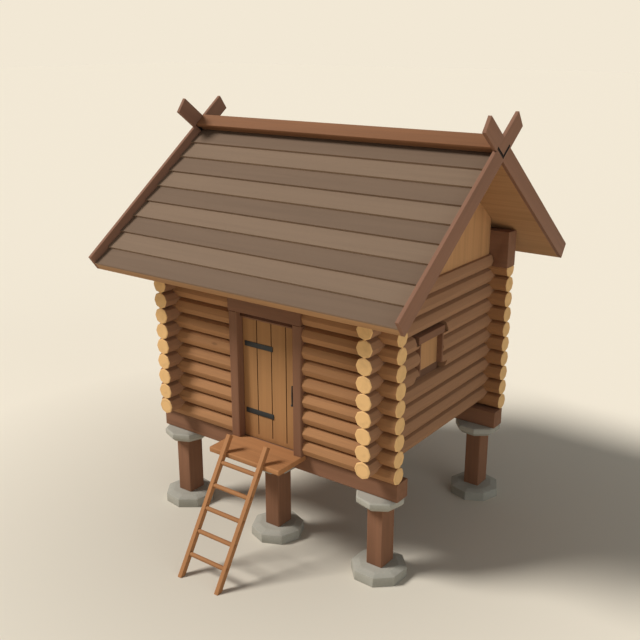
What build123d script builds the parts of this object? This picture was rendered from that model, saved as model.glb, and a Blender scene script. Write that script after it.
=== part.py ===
"""Raised log granary on staddle posts, with a plank door, a shuttered window and a ladder.

Millimetres. +Z is up and the ground is Z = 0. X runs along the front wall, and the front
wall, with its door, faces -Y. The origin is the centre of the whole footprint, which takes
in the ladder. "Long" logs lie along X in the front and back walls, "gable" logs lie along Y.
Side -1 is the front or the left, and side 1 the back or the right.
"""
import os
from math import cos, radians, sin, tan

from build123d import *

# ---- clearances ----
seat_gap = 0.3  # between pieces that are scribed or fitted to each other

# ---- log walls ----
log_pitch = 200  # rise from one log to the next in the same wall
log_diameter = 206
log_sides = 16  # flats hewn round each log
wall_length = 3000  # between the axes of the two gable walls
wall_width = 2600  # between the axes of the front and back walls
long_head = 297  # how far a long log runs past the gable wall's axis
gable_head = 290  # how far a gable log runs past the long wall's axis
log_rows = 10

# ---- footings, posts, caps and sills ----
footing_height = 140
footing_radius = 332
footing_chamfer = 24
post_width = 214
post_depth = 258
post_setback = 20  # how far each post's axis stands behind its sill's axis
post_height = 776
post_chamfer = 10
post_spacing = 1508
cap_height = 120
cap_radius = 294
cap_splay = 50  # how far the cap draws in, and how high, below its lip
cap_chamfer = 14
stone_turns = (14, 2, 20, 9, 17, 5)  # each stone's own turn, in degrees
sill_width = 224
sill_height = 224
sill_overhang = 287  # how far a sill runs past the axes of its outer posts
sill_spread = 2424  # between the axes of the front and back sills

# ---- floor ----
floor_thickness = 30
floor_length = 2745
joist_width = 80
joist_height = 110
joist_spacing = 708
joist_count = 4
housing_depth = 40  # how far a joist or landing arm is let into the sill
skirting_thickness = 24
skirting_height = 230

# ---- roof ----
roof_pitch = 36.53
plate_width = 220
plate_height = 460
plate_length = 3590
plate_bevel = 24  # width of the plate's bearing under the roof deck
long_log_flat = 30  # height of the top long log's flat above its axis
gable_log_flat = 80  # height of the top gable log's flat above its axis
deck_thickness = 59
deck_length = 2420  # down the slope, from the ridge to the eave
roof_width = 4306  # between the inner faces of the bargeboards
course_count = 9
course_thickness = 26
course_lap = 40
first_course = 245  # down the slope, from the ridge to the first course's lower edge
ridge_cap_rise = 227  # from the deck's underside to the cap's top face, square to the slope
ridge_cap_width = 198  # of each arm, down the slope
ridge_cap_thickness = 42
ridge_bed_setback = 55  # from the cap's lower edge to the bed under it
barge_thickness = 42
barge_depth = 207
barge_horn = 569  # how far a bargeboard runs past the ridge, along itself
vee_out = (34, 48)  # the grooves at the crossing, out from the lower edge of the bargeboard
vee_run = (23, 205)  # the same grooves, up past the ridge along the bargeboard
vee_depth = 12
ridge_beam_width = 160
ridge_beam_depth = 220
king_post_size = 100
gable_board_thickness = 36
gable_board_face = 1540  # from the centre to the outer face of the gable boards

# ---- door ----
doorway_width = 824
doorway_height = 1617
jamb_width = 129
jamb_proud = 13  # how far the jambs stand out past the logs
frame_depth = 226
lintel_proud = 8  # how far the lintel stands out past the jambs
head_stop_height = 84
head_stop_depth = 25
leaf_recess = 101  # from the jamb's face to the leaf's face
leaf_thickness = 45
stop_width = 62  # how far the lock-side jamb's stop covers the leaf
hinge_side_gap = 6
lock_side_gap = 8
leaf_end_gap = 6
plank_count = 4
plank_groove_width = 12
plank_groove_depth = 9
plank_groove_end = 56  # where the grooves stop above the leaf's bottom edge
ledge_width = 90
ledge_thickness = 25
ledge_start = 94  # from the hinge side of the leaf
ledge_end = 30
ledge_heights = (196, 1290)
strap_width = 62
strap_thickness = 10
strap_inset = 35  # from the leaf's hinge side to the end of the outer strap
strap_length = 424
strap_heights = (347, 1206)  # above the leaf's bottom edge
hinge_strap_thickness = 6
hinge_strap_length = 260
pin_setback = 9  # from the leaf's hinge side to the pin's axis
pin_radius = 6
pin_fit = 0.1
eye_radius = 10
eye_height = 62
pin_height = 74
shank_depth = 60  # how far a pintle is driven into the jamb
handle_height = 232
handle_radius = 9
handle_reach = 46
handle_inset = 98  # from the leaf's lock side
handle_level = 598  # the handle's foot above the leaf's bottom edge
handle_boss_radius = 19
handle_boss_thickness = 5
handle_knob_radius = 15

# ---- window ----
window_offset = 297  # from the middle of the gable wall towards the front
window_width = 546
window_first_row = 4
window_rows = 3
window_settling_gap = 30
lining_thickness = 24
lining_depth = 180
lining_setback = 10  # behind the outer face of the logs
window_head = 90
window_sill = 110
window_sill_setback = 88  # behind the front of the head
window_ear = 25  # how far the head and sill run past the window's sides
window_housing = 90  # how far the logs are cut back for them
shutter_thickness = 30
shutter_recess = 70

# ---- landing and ladder ----
landing_width = 1070
landing_depth = 510
landing_thickness = 65
landing_chamfer = 8
arm_size = 76
arm_reach = 330
arm_spacing = 620
ladder_lean = 57.9
ladder_length = 1708
ladder_spacing = 567
ladder_notch = 18  # how far the landing's edge is let into the stiles
stile_width = 52
stile_depth = 64
rung_radius = 27
rung_sides = 12
tenon_radius = 19  # of the rung's ends, through the stiles
rung_count = 5
rung_first = 271
rung_pitch = 275
rung_proud = 8

# ---- levels and places worked out from the sizes above ----
log_radius = log_diameter / 2
wall_x = wall_length / 2
wall_y = wall_width / 2
post_foot = footing_height
cap_bottom = post_foot + post_height
sill_bottom = cap_bottom + cap_height
sill_top = sill_bottom + sill_height
plate_bottom = sill_top + log_pitch / 2 + (log_rows - 1) * log_pitch + long_log_flat
gable_boards_bottom = sill_top + log_rows * log_pitch + gable_log_flat
plate_outer = wall_y + plate_width / 2
roof_slope = tan(radians(roof_pitch))
ridge_level = plate_bottom + plate_height - plate_bevel * roof_slope + plate_outer * roof_slope
sill_face = sill_spread / 2 + sill_width / 2
landing_reach = sill_face + landing_depth
jamb_face = wall_y + log_radius + jamb_proud
leaf_face = jamb_face - leaf_recess
door_head = sill_top + doorway_height
frame_outer = doorway_width / 2 + jamb_width
leaf_bottom = sill_top + leaf_end_gap
leaf_top = door_head - leaf_end_gap
leaf_left = hinge_side_gap - doorway_width / 2
leaf_right = doorway_width / 2 + stop_width - lock_side_gap

# The ladder leans on the landing's front edge, which is let into the backs of its stiles.
ladder_rise = sin(radians(ladder_lean))
ladder_run = cos(radians(ladder_lean))
lean_level = sill_top - landing_chamfer
stile_half_level = stile_depth / 2 / ladder_rise
lean_reach = landing_reach - ladder_notch + stile_half_level
ladder_foot = lean_reach + lean_level * ladder_run / ladder_rise
ladder_reach = ladder_foot + stile_half_level
eave_reach = deck_length * cos(radians(roof_pitch)) + barge_depth * sin(radians(roof_pitch))

# The ladder reaches further than the eave, so the house stands behind the origin.
mid_y = (ladder_reach - eave_reach) / 2


def long_level(row):
    """Height of a long log's axis."""
    return sill_top + log_pitch / 2 + row * log_pitch


def gable_level(row):
    """Height of a gable log's axis, half a log above the long log of the same row."""
    return sill_top + log_pitch + row * log_pitch


def roof_point(side, down, out):
    """A point of the roof's section, down the slope from the ridge and out from the deck's underside."""
    level = down * cos(radians(roof_pitch)) + out * sin(radians(roof_pitch))
    height = ridge_level - down * sin(radians(roof_pitch)) + out * cos(radians(roof_pitch))
    return (mid_y + side * level, height)


def roof_bar(points, length, middle=0):
    """A piece of the roof with the given section in the YZ plane, centred on X = middle."""
    with BuildPart() as bar:
        with BuildSketch(Plane.YZ.offset(middle)):
            Polygon(*points, align=None)
        extrude(amount=length / 2, both=True)
    return bar.part


def block(x_range, y_range, z_range, edge=0):
    """A squared timber or board between two corners, with its long edges eased."""
    size = [high - low for low, high in (x_range, y_range, z_range)]
    centre = Vector([(high + low) / 2 for low, high in (x_range, y_range, z_range)])
    with BuildPart() as timber:
        with Locations(centre):
            Box(*size)
        if edge:
            longest = (Axis.X, Axis.Y, Axis.Z)[size.index(max(size))]
            chamfer(timber.edges().filter_by(longest), edge)
    return timber.part


# ---------------------------------------------------------------- log walls


def long_log(side, row, x_from, x_to):
    """A log of the front or back wall, grooved over the log below and notched over the gable logs."""
    y = mid_y + side * wall_y
    z = long_level(row)
    with BuildPart() as log:
        with BuildSketch(Plane.YZ.offset(x_from)):
            with Locations((y, z)):
                RegularPolygon(log_radius, log_sides)
        extrude(amount=x_to - x_from)
        if row:
            with BuildSketch(Plane.YZ.offset(x_from)):
                with Locations((y, z - log_pitch)):
                    RegularPolygon(log_radius + seat_gap, log_sides)
            extrude(amount=x_to - x_from, mode=Mode.SUBTRACT)
            crossings = [x for x in (-wall_x, wall_x) if x_from < x < x_to]
            with BuildSketch(Plane.XZ.offset(-y)):
                with Locations(*[(x, z - log_pitch / 2) for x in crossings]):
                    RegularPolygon(log_radius + seat_gap, log_sides)
            extrude(amount=log_diameter, both=True, mode=Mode.SUBTRACT)
        else:
            split(bisect_by=Plane.XY.offset(sill_top), keep=Keep.TOP)
        if row == log_rows - 1:
            split(bisect_by=Plane.XY.offset(plate_bottom), keep=Keep.BOTTOM)
    return log.part


def gable_log(side, row, y_from, y_to):
    """A log of a gable wall, grooved over the log below and notched over the long logs."""
    x = side * wall_x
    z = gable_level(row)
    with BuildPart() as log:
        with BuildSketch(Plane.XZ.offset(-y_from)):
            with Locations((x, z)):
                RegularPolygon(log_radius, log_sides)
        extrude(amount=y_from - y_to)
        if row:
            with BuildSketch(Plane.XZ.offset(-y_from)):
                with Locations((x, z - log_pitch)):
                    RegularPolygon(log_radius + seat_gap, log_sides)
            extrude(amount=y_from - y_to, mode=Mode.SUBTRACT)
        crossings = [y for y in (mid_y - wall_y, mid_y + wall_y) if y_from < y < y_to]
        with BuildSketch(Plane.YZ.offset(x)):
            with Locations(*[(y, z - log_pitch / 2) for y in crossings]):
                RegularPolygon(log_radius + seat_gap, log_sides)
        extrude(amount=log_diameter, both=True, mode=Mode.SUBTRACT)
        if row == log_rows - 1:
            with Locations((x, mid_y, z + gable_log_flat)):
                Box(
                    log_diameter,
                    wall_width - plate_width,
                    log_diameter,
                    align=(Align.CENTER, Align.CENTER, Align.MIN),
                    mode=Mode.SUBTRACT,
                )
    return log.part


long_end = wall_x + long_head
gable_end = wall_y + gable_head
doorway_rows = range(log_rows - 1)
doorway_edge = frame_outer + seat_gap

left_pieces = [long_log(-1, row, -long_end, -doorway_edge) for row in doorway_rows]
with BuildPart() as front_wall_left_logs:
    add(left_pieces)

right_pieces = [long_log(-1, row, doorway_edge, long_end) for row in doorway_rows]
with BuildPart() as front_wall_right_logs:
    add(right_pieces)

top_piece = long_log(-1, log_rows - 1, -long_end, long_end)
with BuildPart() as front_wall_top_log:
    add(top_piece)

back_pieces = [long_log(1, row, -long_end, long_end) for row in range(log_rows)]
with BuildPart() as back_wall_logs:
    add(back_pieces)

gable_pieces = [gable_log(-1, row, mid_y - gable_end, mid_y + gable_end) for row in range(log_rows)]
with BuildPart() as left_gable_logs:
    add(gable_pieces)

window_low = mid_y - window_offset - window_width / 2
window_high = mid_y - window_offset + window_width / 2
window_bottom = gable_level(window_first_row) - log_pitch / 2
window_top = window_bottom + window_rows * log_pitch - window_settling_gap
ear_low = window_low - window_ear
ear_high = window_high + window_ear


def cut_log(row, y_from, y_to):
    """A log that stops at the window, housed for the ears of the window's head and sill."""
    across = (wall_x - log_diameter, wall_x + log_diameter)
    along = (window_low - window_housing, window_high + window_housing)
    with BuildPart() as log:
        add(gable_log(1, row, y_from, y_to))
        if row == window_first_row:
            sill_seat = (window_bottom - log_diameter, window_bottom + window_sill + seat_gap)
            add(block(across, along, sill_seat), mode=Mode.SUBTRACT)
        if row == window_first_row + window_rows - 1:
            head_seat = (window_top - window_head - seat_gap, window_top + log_diameter)
            add(block(across, along, head_seat), mode=Mode.SUBTRACT)
    return log.part


window_pieces = []
for row in range(log_rows):
    if window_first_row <= row < window_first_row + window_rows:
        window_pieces.append(cut_log(row, mid_y - gable_end, window_low - seat_gap))
        window_pieces.append(cut_log(row, window_high + seat_gap, mid_y + gable_end))
    else:
        window_pieces.append(gable_log(1, row, mid_y - gable_end, mid_y + gable_end))
with BuildPart() as right_gable_logs:
    add(window_pieces)

# ---------------------------------------------------------------- footings, posts, caps


def post_places(side):
    """The three post axes of the front or back row."""
    return [(k * post_spacing, mid_y + side * sill_spread / 2) for k in (-1, 0, 1)]


def footing(place, turn):
    """A hewn eight-sided stone with a chamfered rim."""
    with BuildPart() as stone:
        with BuildSketch():
            with Locations(place):
                RegularPolygon(footing_radius, 8, rotation=turn)
        extrude(amount=footing_height)
        chamfer(stone.faces().sort_by(Axis.Z)[-1].edges(), footing_chamfer)
    return stone.part


def post(place):
    """A squared post with its corners taken off."""
    x, y = place
    with BuildPart() as timber:
        with BuildSketch(Plane.XY.offset(post_foot)):
            with Locations((x, y + post_setback)):
                Rectangle(post_width, post_depth)
            chamfer(vertices(), post_chamfer)
        extrude(amount=post_height)
    return timber.part


def staddle_cap(place, turn):
    """A stone cap that spreads from the post's top to a wide lip under the sill."""
    with BuildPart() as stone:
        with BuildSketch(Plane.XY.offset(cap_bottom)):
            with Locations(place):
                RegularPolygon(cap_radius, 8, rotation=turn)
        extrude(amount=cap_height)
        chamfer(stone.faces().sort_by(Axis.Z)[0].edges(), cap_splay)
        chamfer(stone.faces().sort_by(Axis.Z)[-1].edges(), cap_chamfer)
    return stone.part


front_places = post_places(-1)
back_places = post_places(1)

front_stones = [footing(place, turn) for place, turn in zip(front_places, stone_turns)]
with BuildPart() as front_footings:
    add(front_stones)

back_stones = [footing(place, turn) for place, turn in zip(back_places, stone_turns[3:])]
with BuildPart() as back_footings:
    add(back_stones)

front_timbers = [post(place) for place in front_places]
with BuildPart() as front_posts:
    add(front_timbers)

back_timbers = [post(place) for place in back_places]
with BuildPart() as back_posts:
    add(back_timbers)

front_lids = [staddle_cap(place, turn) for place, turn in zip(front_places, stone_turns[1:])]
with BuildPart() as front_staddle_caps:
    add(front_lids)

back_lids = [staddle_cap(place, turn) for place, turn in zip(back_places, stone_turns[2:])]
with BuildPart() as back_staddle_caps:
    add(back_lids)

# ---------------------------------------------------------------- sills and floor

joist_first = -(joist_count - 1) / 2 * joist_spacing
joist_places = [joist_first + k * joist_spacing for k in range(joist_count)]
floor_bottom = sill_top - floor_thickness
joist_bottom = floor_bottom - joist_height
arm_top = sill_top - landing_thickness
arm_places = (-arm_spacing / 2, arm_spacing / 2)


def sill(side):
    """A squared sill with housings for the joists, and in front for the landing's arms."""
    middle = mid_y + side * sill_spread / 2
    inner = middle - side * (sill_width / 2 - housing_depth / 2)
    outer = middle + side * (sill_width / 2 - housing_depth / 2)
    with BuildPart() as timber:
        with Locations((0, middle, (sill_bottom + sill_top) / 2)):
            Box(2 * (post_spacing + sill_overhang), sill_width, sill_height)
        chamfer(timber.edges().filter_by(Axis.X), post_chamfer)
        with Locations(*[(x, inner, joist_bottom - seat_gap) for x in joist_places]):
            Box(
                joist_width + 2 * seat_gap,
                housing_depth,
                sill_top - joist_bottom + seat_gap,
                align=(Align.CENTER, Align.CENTER, Align.MIN),
                mode=Mode.SUBTRACT,
            )
        if side < 0:
            with Locations(*[(x, outer, arm_top - arm_size / 2) for x in arm_places]):
                Box(
                    arm_size + 2 * seat_gap,
                    housing_depth,
                    arm_size + 2 * seat_gap,
                    mode=Mode.SUBTRACT,
                )
    return timber.part


front_timber = sill(-1)
with BuildPart() as front_sill:
    add(front_timber)

back_timber = sill(1)
with BuildPart() as back_sill:
    add(back_timber)

joist_half = sill_spread / 2 - sill_width / 2 + housing_depth - seat_gap
joist_pieces = [
    block(
        (x - joist_width / 2, x + joist_width / 2),
        (mid_y - joist_half, mid_y + joist_half),
        (joist_bottom, floor_bottom),
    )
    for x in joist_places
]
with BuildPart() as floor_joists:
    add(joist_pieces)

floor_half = sill_spread / 2 - sill_width / 2 - seat_gap
with BuildPart() as floor_boards:
    with Locations((0, mid_y, sill_top - floor_thickness / 2)):
        Box(floor_length, 2 * floor_half, floor_thickness)

skirting_face = wall_x - log_radius - seat_gap
skirting_half = wall_y - log_radius - seat_gap
skirting_pieces = [
    block(
        sorted((side * (skirting_face - skirting_thickness), side * skirting_face)),
        (mid_y - skirting_half, mid_y + skirting_half),
        (sill_top, sill_top + skirting_height),
    )
    for side in (-1, 1)
]
with BuildPart() as gable_skirting_boards:
    add(skirting_pieces)

# ---------------------------------------------------------------- roof


def wall_plate(side):
    """A deep squared plate, notched over the top gable logs and bevelled under the deck."""
    inner = mid_y + side * (wall_y - plate_width / 2)
    outer = mid_y + side * plate_outer
    top = plate_bottom + plate_height
    bevel_foot = top - plate_bevel * roof_slope - seat_gap
    with BuildPart() as timber:
        with BuildSketch(Plane.YZ):
            Polygon(
                (inner, plate_bottom),
                (outer, plate_bottom),
                (outer, bevel_foot),
                (outer - side * plate_bevel, top - seat_gap),
                (inner, top - seat_gap),
                align=None,
            )
        extrude(amount=plate_length / 2, both=True)
        with BuildSketch(Plane.XZ.offset(-mid_y)):
            with Locations(*[(x, gable_level(log_rows - 1)) for x in (-wall_x, wall_x)]):
                RegularPolygon(log_radius + seat_gap, log_sides)
        extrude(amount=wall_width, both=True, mode=Mode.SUBTRACT)
    return timber.part


front_plate = wall_plate(-1)
with BuildPart() as front_wall_plate:
    add(front_plate)

back_plate = wall_plate(1)
with BuildPart() as back_wall_plate:
    add(back_plate)

beam_top = ridge_level - ridge_beam_width / 2 * roof_slope - seat_gap
beam_bottom = beam_top - ridge_beam_depth
beam_end = gable_board_face - gable_board_thickness - seat_gap
beam_half = ridge_beam_width / 2
with BuildPart() as ridge_beam:
    with BuildSketch(Plane.YZ):
        Polygon(
            (mid_y - beam_half, beam_bottom),
            (mid_y + beam_half, beam_bottom),
            (mid_y + beam_half, beam_top),
            (mid_y, ridge_level - seat_gap),
            (mid_y - beam_half, beam_top),
            align=None,
        )
    extrude(amount=beam_end, both=True)

king_half = king_post_size / 2
king_pieces = [
    block(
        sorted((side * (beam_end - king_post_size), side * beam_end)),
        (mid_y - king_half, mid_y + king_half),
        (gable_boards_bottom, beam_bottom),
    )
    for side in (-1, 1)
]
with BuildPart() as king_posts:
    add(king_pieces)


def gable_boards(side):
    """The upright boarding that fills a gable between the wall plates."""
    half = wall_y - plate_width / 2 - seat_gap
    eave = ridge_level - half * roof_slope - seat_gap
    with BuildPart() as boards:
        with BuildSketch(Plane.YZ.offset(side * (gable_board_face - gable_board_thickness / 2))):
            Polygon(
                (mid_y - half, gable_boards_bottom),
                (mid_y + half, gable_boards_bottom),
                (mid_y + half, eave),
                (mid_y, ridge_level - seat_gap),
                (mid_y - half, eave),
                align=None,
            )
        extrude(amount=gable_board_thickness / 2, both=True)
    return boards.part


left_panel = gable_boards(-1)
with BuildPart() as left_gable_boards:
    add(left_panel)

right_panel = gable_boards(1)
with BuildPart() as right_gable_boards:
    add(right_panel)

deck_span = roof_width - 2 * seat_gap


def mitre(out):
    """How far up the slope from the ridge point the mitre lies, for a face this far out."""
    return -out * roof_slope


course_exposure = (deck_length - first_course) / (course_count - 1)
course_width = course_exposure + course_lap
course_base = deck_thickness + seat_gap
course_tilt = (course_thickness + seat_gap) / (1 - course_lap / course_width)


def roof_deck(side):
    """The close boarding of one slope, mitred at the ridge, with a tilting fillet at the eave."""
    section = (
        roof_point(side, 0, 0),
        roof_point(side, deck_length, 0),
        roof_point(side, deck_length, deck_thickness + course_tilt),
        roof_point(side, deck_length - course_width, deck_thickness),
        roof_point(side, mitre(deck_thickness), deck_thickness),
    )
    return roof_bar(section, deck_span)


front_slab = roof_deck(-1)
with BuildPart() as front_roof_deck:
    add(front_slab)

back_slab = roof_deck(1)
with BuildPart() as back_roof_deck:
    add(back_slab)


def roof_course(side, number):
    """One lapped board: its top edge lies on the deck and its lower edge on the next board."""
    lower = first_course + number * course_exposure
    upper = lower - course_width
    section = (
        roof_point(side, upper, course_base),
        roof_point(side, lower, course_base + course_tilt),
        roof_point(side, lower, course_base + course_tilt + course_thickness),
        roof_point(side, upper, course_base + course_thickness),
    )
    with BuildPart() as board:
        add(roof_bar(section, deck_span))
        if side < 0:
            split(bisect_by=Plane.XZ.offset(seat_gap - mid_y), keep=Keep.TOP)
        else:
            split(bisect_by=Plane.XZ.offset(-seat_gap - mid_y), keep=Keep.BOTTOM)
    return board.part


dark_numbers = range(0, course_count, 2)
light_numbers = range(1, course_count, 2)

front_dark = [roof_course(-1, number) for number in dark_numbers]
with BuildPart() as front_roof_dark_courses:
    add(front_dark)

front_light = [roof_course(-1, number) for number in light_numbers]
with BuildPart() as front_roof_light_courses:
    add(front_light)

back_dark = [roof_course(1, number) for number in dark_numbers]
with BuildPart() as back_roof_dark_courses:
    add(back_dark)

back_light = [roof_course(1, number) for number in light_numbers]
with BuildPart() as back_roof_light_courses:
    add(back_light)

# The cap's two arms overhang a narrower bed, whose feet lie on the first courses.
cap_edge = mitre(ridge_cap_rise) + ridge_cap_width
bed_edge = cap_edge - ridge_bed_setback
bed_climb = course_tilt * (bed_edge + course_width - first_course) / course_width
bed_foot = course_base + course_thickness + bed_climb + seat_gap
arm_under = ridge_cap_rise - ridge_cap_thickness
with BuildPart() as ridge_cap:
    with BuildSketch(Plane.YZ):
        Polygon(
            roof_point(-1, mitre(bed_foot), bed_foot),
            roof_point(-1, bed_edge, bed_foot),
            roof_point(-1, bed_edge, arm_under),
            roof_point(-1, cap_edge, arm_under),
            roof_point(-1, cap_edge, ridge_cap_rise),
            roof_point(-1, mitre(ridge_cap_rise), ridge_cap_rise),
            roof_point(1, cap_edge, ridge_cap_rise),
            roof_point(1, cap_edge, arm_under),
            roof_point(1, bed_edge, arm_under),
            roof_point(1, bed_edge, bed_foot),
            align=None,
        )
    extrude(amount=deck_span / 2, both=True)


def barge_section(side):
    """Outline of a bargeboard, from the eave up past the ridge to the tip of its horn."""
    return (
        roof_point(side, deck_length, 0),
        roof_point(side, deck_length, barge_depth),
        roof_point(side, -barge_horn, barge_depth),
        roof_point(side, -barge_horn, 0),
    )


def vee_section(side):
    """Outline of one arm of the V that is grooved into the crossing."""
    low, high = vee_out
    near, far = vee_run
    return (
        roof_point(side, -near, low),
        roof_point(side, -near, high),
        roof_point(side, -far, high),
        roof_point(side, -far, low),
    )


def bargeboard(end, side):
    """A bargeboard of one gable end, half-lapped with its partner and grooved where they cross."""
    inner = end * roof_width / 2
    outer = inner + end * barge_thickness
    middle = (inner + outer) / 2
    lap = (middle + (inner if side < 0 else outer)) / 2
    with BuildPart() as board:
        add(roof_bar(barge_section(side), barge_thickness, middle))
        add(roof_bar(barge_section(-side), barge_thickness / 2, lap), mode=Mode.SUBTRACT)
        for arm in (-1, 1):
            for face in (inner, outer):
                add(roof_bar(vee_section(arm), 2 * vee_depth, face), mode=Mode.SUBTRACT)
    return board.part


left_front_board = bargeboard(-1, -1)
with BuildPart() as left_front_bargeboard:
    add(left_front_board)

left_back_board = bargeboard(-1, 1)
with BuildPart() as left_back_bargeboard:
    add(left_back_board)

right_front_board = bargeboard(1, -1)
with BuildPart() as right_front_bargeboard:
    add(right_front_board)

right_back_board = bargeboard(1, 1)
with BuildPart() as right_back_bargeboard:
    add(right_back_board)

# ---------------------------------------------------------------- door

frame_front = mid_y - jamb_face
frame_back = frame_front + frame_depth
leaf_front = mid_y - leaf_face
leaf_back = leaf_front + leaf_thickness
pin_x = leaf_left + pin_setback
pin_y = leaf_back + eye_radius
jamb_centre = doorway_width / 2 + jamb_width / 2
strap_levels = [leaf_bottom + height for height in strap_heights]
eye_bottoms = [level - eye_height / 2 for level in strap_levels]
shank_levels = [bottom - seat_gap - pin_radius for bottom in eye_bottoms]

with BuildPart() as left_door_jamb:
    with Locations((-jamb_centre, (frame_front + frame_back) / 2, (sill_top + door_head) / 2)):
        Box(jamb_width, frame_depth, doorway_height)
    with BuildSketch(Plane.YZ.offset(-doorway_width / 2)):
        with Locations(*[(pin_y, level) for level in shank_levels]):
            Circle(pin_radius + pin_fit)
    extrude(amount=-shank_depth, mode=Mode.SUBTRACT)

# The lock-side jamb is rebated, so that the leaf shuts against its stop from inside.
stop_back = leaf_front - leaf_end_gap
with BuildPart() as right_door_jamb:
    with BuildSketch(Plane.XY.offset(sill_top)):
        Polygon(
            (doorway_width / 2, frame_front),
            (frame_outer, frame_front),
            (frame_outer, frame_back),
            (doorway_width / 2 + stop_width, frame_back),
            (doorway_width / 2 + stop_width, stop_back),
            (doorway_width / 2, stop_back),
            align=None,
        )
    extrude(amount=doorway_height)

lintel_top = long_level(log_rows - 1) - log_radius
with BuildPart() as door_lintel:
    with BuildSketch(Plane.YZ):
        Polygon(
            (frame_front - lintel_proud, door_head),
            (stop_back - head_stop_depth, door_head),
            (stop_back - head_stop_depth, door_head - head_stop_height),
            (stop_back, door_head - head_stop_height),
            (stop_back, door_head),
            (frame_back, door_head),
            (frame_back, lintel_top),
            (frame_front - lintel_proud, lintel_top),
            align=None,
        )
    extrude(amount=frame_outer, both=True)
    with Locations(*[(side * jamb_centre, mid_y - wall_y, door_head) for side in (-1, 1)]):
        Box(
            jamb_width,
            wall_y,
            2 * head_stop_height,
            align=(Align.CENTER, Align.CENTER, Align.MAX),
            mode=Mode.SUBTRACT,
        )

leaf_width = leaf_right - leaf_left
leaf_height = leaf_top - leaf_bottom
leaf_middle = (leaf_left + leaf_right) / 2
plank_width = leaf_width / plank_count
groove_places = [leaf_left + k * plank_width for k in range(1, plank_count)]
ledge_middle = (leaf_left + ledge_start + leaf_right - ledge_end) / 2
ledge_length = leaf_width - ledge_start - ledge_end

with BuildPart() as door_leaf:
    with Locations((leaf_middle, (leaf_front + leaf_back) / 2, (leaf_bottom + leaf_top) / 2)):
        Box(leaf_width, leaf_thickness, leaf_height)
    with Locations(*[(x, leaf_front, leaf_bottom + plank_groove_end) for x in groove_places]):
        Box(
            plank_groove_width,
            2 * plank_groove_depth,
            leaf_height,
            align=(Align.CENTER, Align.CENTER, Align.MIN),
            mode=Mode.SUBTRACT,
        )
    with Locations(*[(ledge_middle, leaf_back, leaf_bottom + height) for height in ledge_heights]):
        Box(
            ledge_length,
            ledge_thickness,
            ledge_width,
            align=(Align.CENTER, Align.MIN, Align.MIN),
        )

# Two outer straps, and two hinge straps that each end in an eye round a pintle.
with BuildPart() as door_straps:
    for level in strap_levels:
        with Locations((leaf_left + strap_inset, leaf_front, level)):
            Box(
                strap_length,
                strap_thickness,
                strap_width,
                align=(Align.MIN, Align.MAX, Align.CENTER),
            )
        with BuildSketch(Plane.XY.offset(level - eye_height / 2)):
            with Locations((pin_x, pin_y)):
                Circle(eye_radius)
            with Locations((pin_x, leaf_back)):
                Rectangle(
                    hinge_strap_length,
                    hinge_strap_thickness,
                    align=(Align.MIN, Align.MIN),
                )
            with Locations((pin_x, pin_y)):
                Circle(pin_radius + pin_fit, mode=Mode.SUBTRACT)
        extrude(amount=eye_height)

with BuildPart() as door_pintles:
    for level in shank_levels:
        with BuildSketch(Plane.YZ.offset(-doorway_width / 2 - shank_depth)):
            with Locations((pin_y, level)):
                Circle(pin_radius)
        extrude(amount=pin_x + doorway_width / 2 + shank_depth)
        with BuildSketch(Plane.XY.offset(level - pin_radius)):
            with Locations((pin_x, pin_y)):
                Circle(pin_radius)
        extrude(amount=pin_height)

handle_x = leaf_right - handle_inset
handle_foot = leaf_bottom + handle_level
with BuildPart() as door_handle:
    with BuildLine(Plane.YZ.offset(handle_x)):
        Polyline(
            (leaf_front, handle_foot),
            (leaf_front - handle_reach, handle_foot),
            (leaf_front - handle_reach, handle_foot + handle_height),
            (leaf_front, handle_foot + handle_height),
        )
    with BuildSketch(Plane.XZ.offset(-leaf_front)):
        with Locations((handle_x, handle_foot)):
            RegularPolygon(handle_radius, 8, rotation=22.5)
    sweep(transition=Transition.RIGHT)
    with BuildSketch(Plane.XZ.offset(-leaf_front)):
        with Locations((handle_x, handle_foot), (handle_x, handle_foot + handle_height)):
            RegularPolygon(handle_boss_radius, 8, rotation=22.5)
    extrude(amount=handle_boss_thickness)
    with BuildSketch(Plane.XY.offset(handle_foot - handle_knob_radius)):
        with Locations((handle_x, leaf_front - handle_reach)):
            RegularPolygon(handle_knob_radius, 8, rotation=22.5)
    extrude(amount=2 * handle_knob_radius)

# ---------------------------------------------------------------- window

lining_out = wall_x + log_radius - lining_setback
lining_in = lining_out - lining_depth
sill_out = lining_out - window_sill_setback
sill_foot = window_bottom + log_radius - log_pitch / 2 + seat_gap

lining_pieces = [
    block((lining_in, sill_out), (ear_low, ear_high), (sill_foot, window_bottom + window_sill)),
    block((lining_in, lining_out), (ear_low, ear_high), (window_top - window_head, window_top)),
]
for low in (window_low, window_high - lining_thickness):
    lining_pieces.append(
        block(
            (lining_in, lining_out),
            (low, low + lining_thickness),
            (window_bottom + window_sill + seat_gap, window_top - window_head - seat_gap),
        )
    )
with BuildPart() as window_frame:
    add(lining_pieces)

shutter_face = lining_out - shutter_recess
shutter_piece = block(
    (shutter_face - shutter_thickness, shutter_face),
    (window_low + lining_thickness + seat_gap, window_high - lining_thickness - seat_gap),
    (window_bottom + window_sill + seat_gap, window_top - window_head - seat_gap),
)
with BuildPart() as window_shutter:
    add(shutter_piece)

# ---------------------------------------------------------------- landing and ladder

landing_y = (mid_y - landing_reach, mid_y - sill_face)
with BuildPart() as landing_board:
    with Locations((0, sum(landing_y) / 2, sill_top - landing_thickness / 2)):
        Box(landing_width, landing_depth, landing_thickness)
    chamfer(landing_board.faces().sort_by(Axis.Y)[0].edges(), landing_chamfer)

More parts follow.
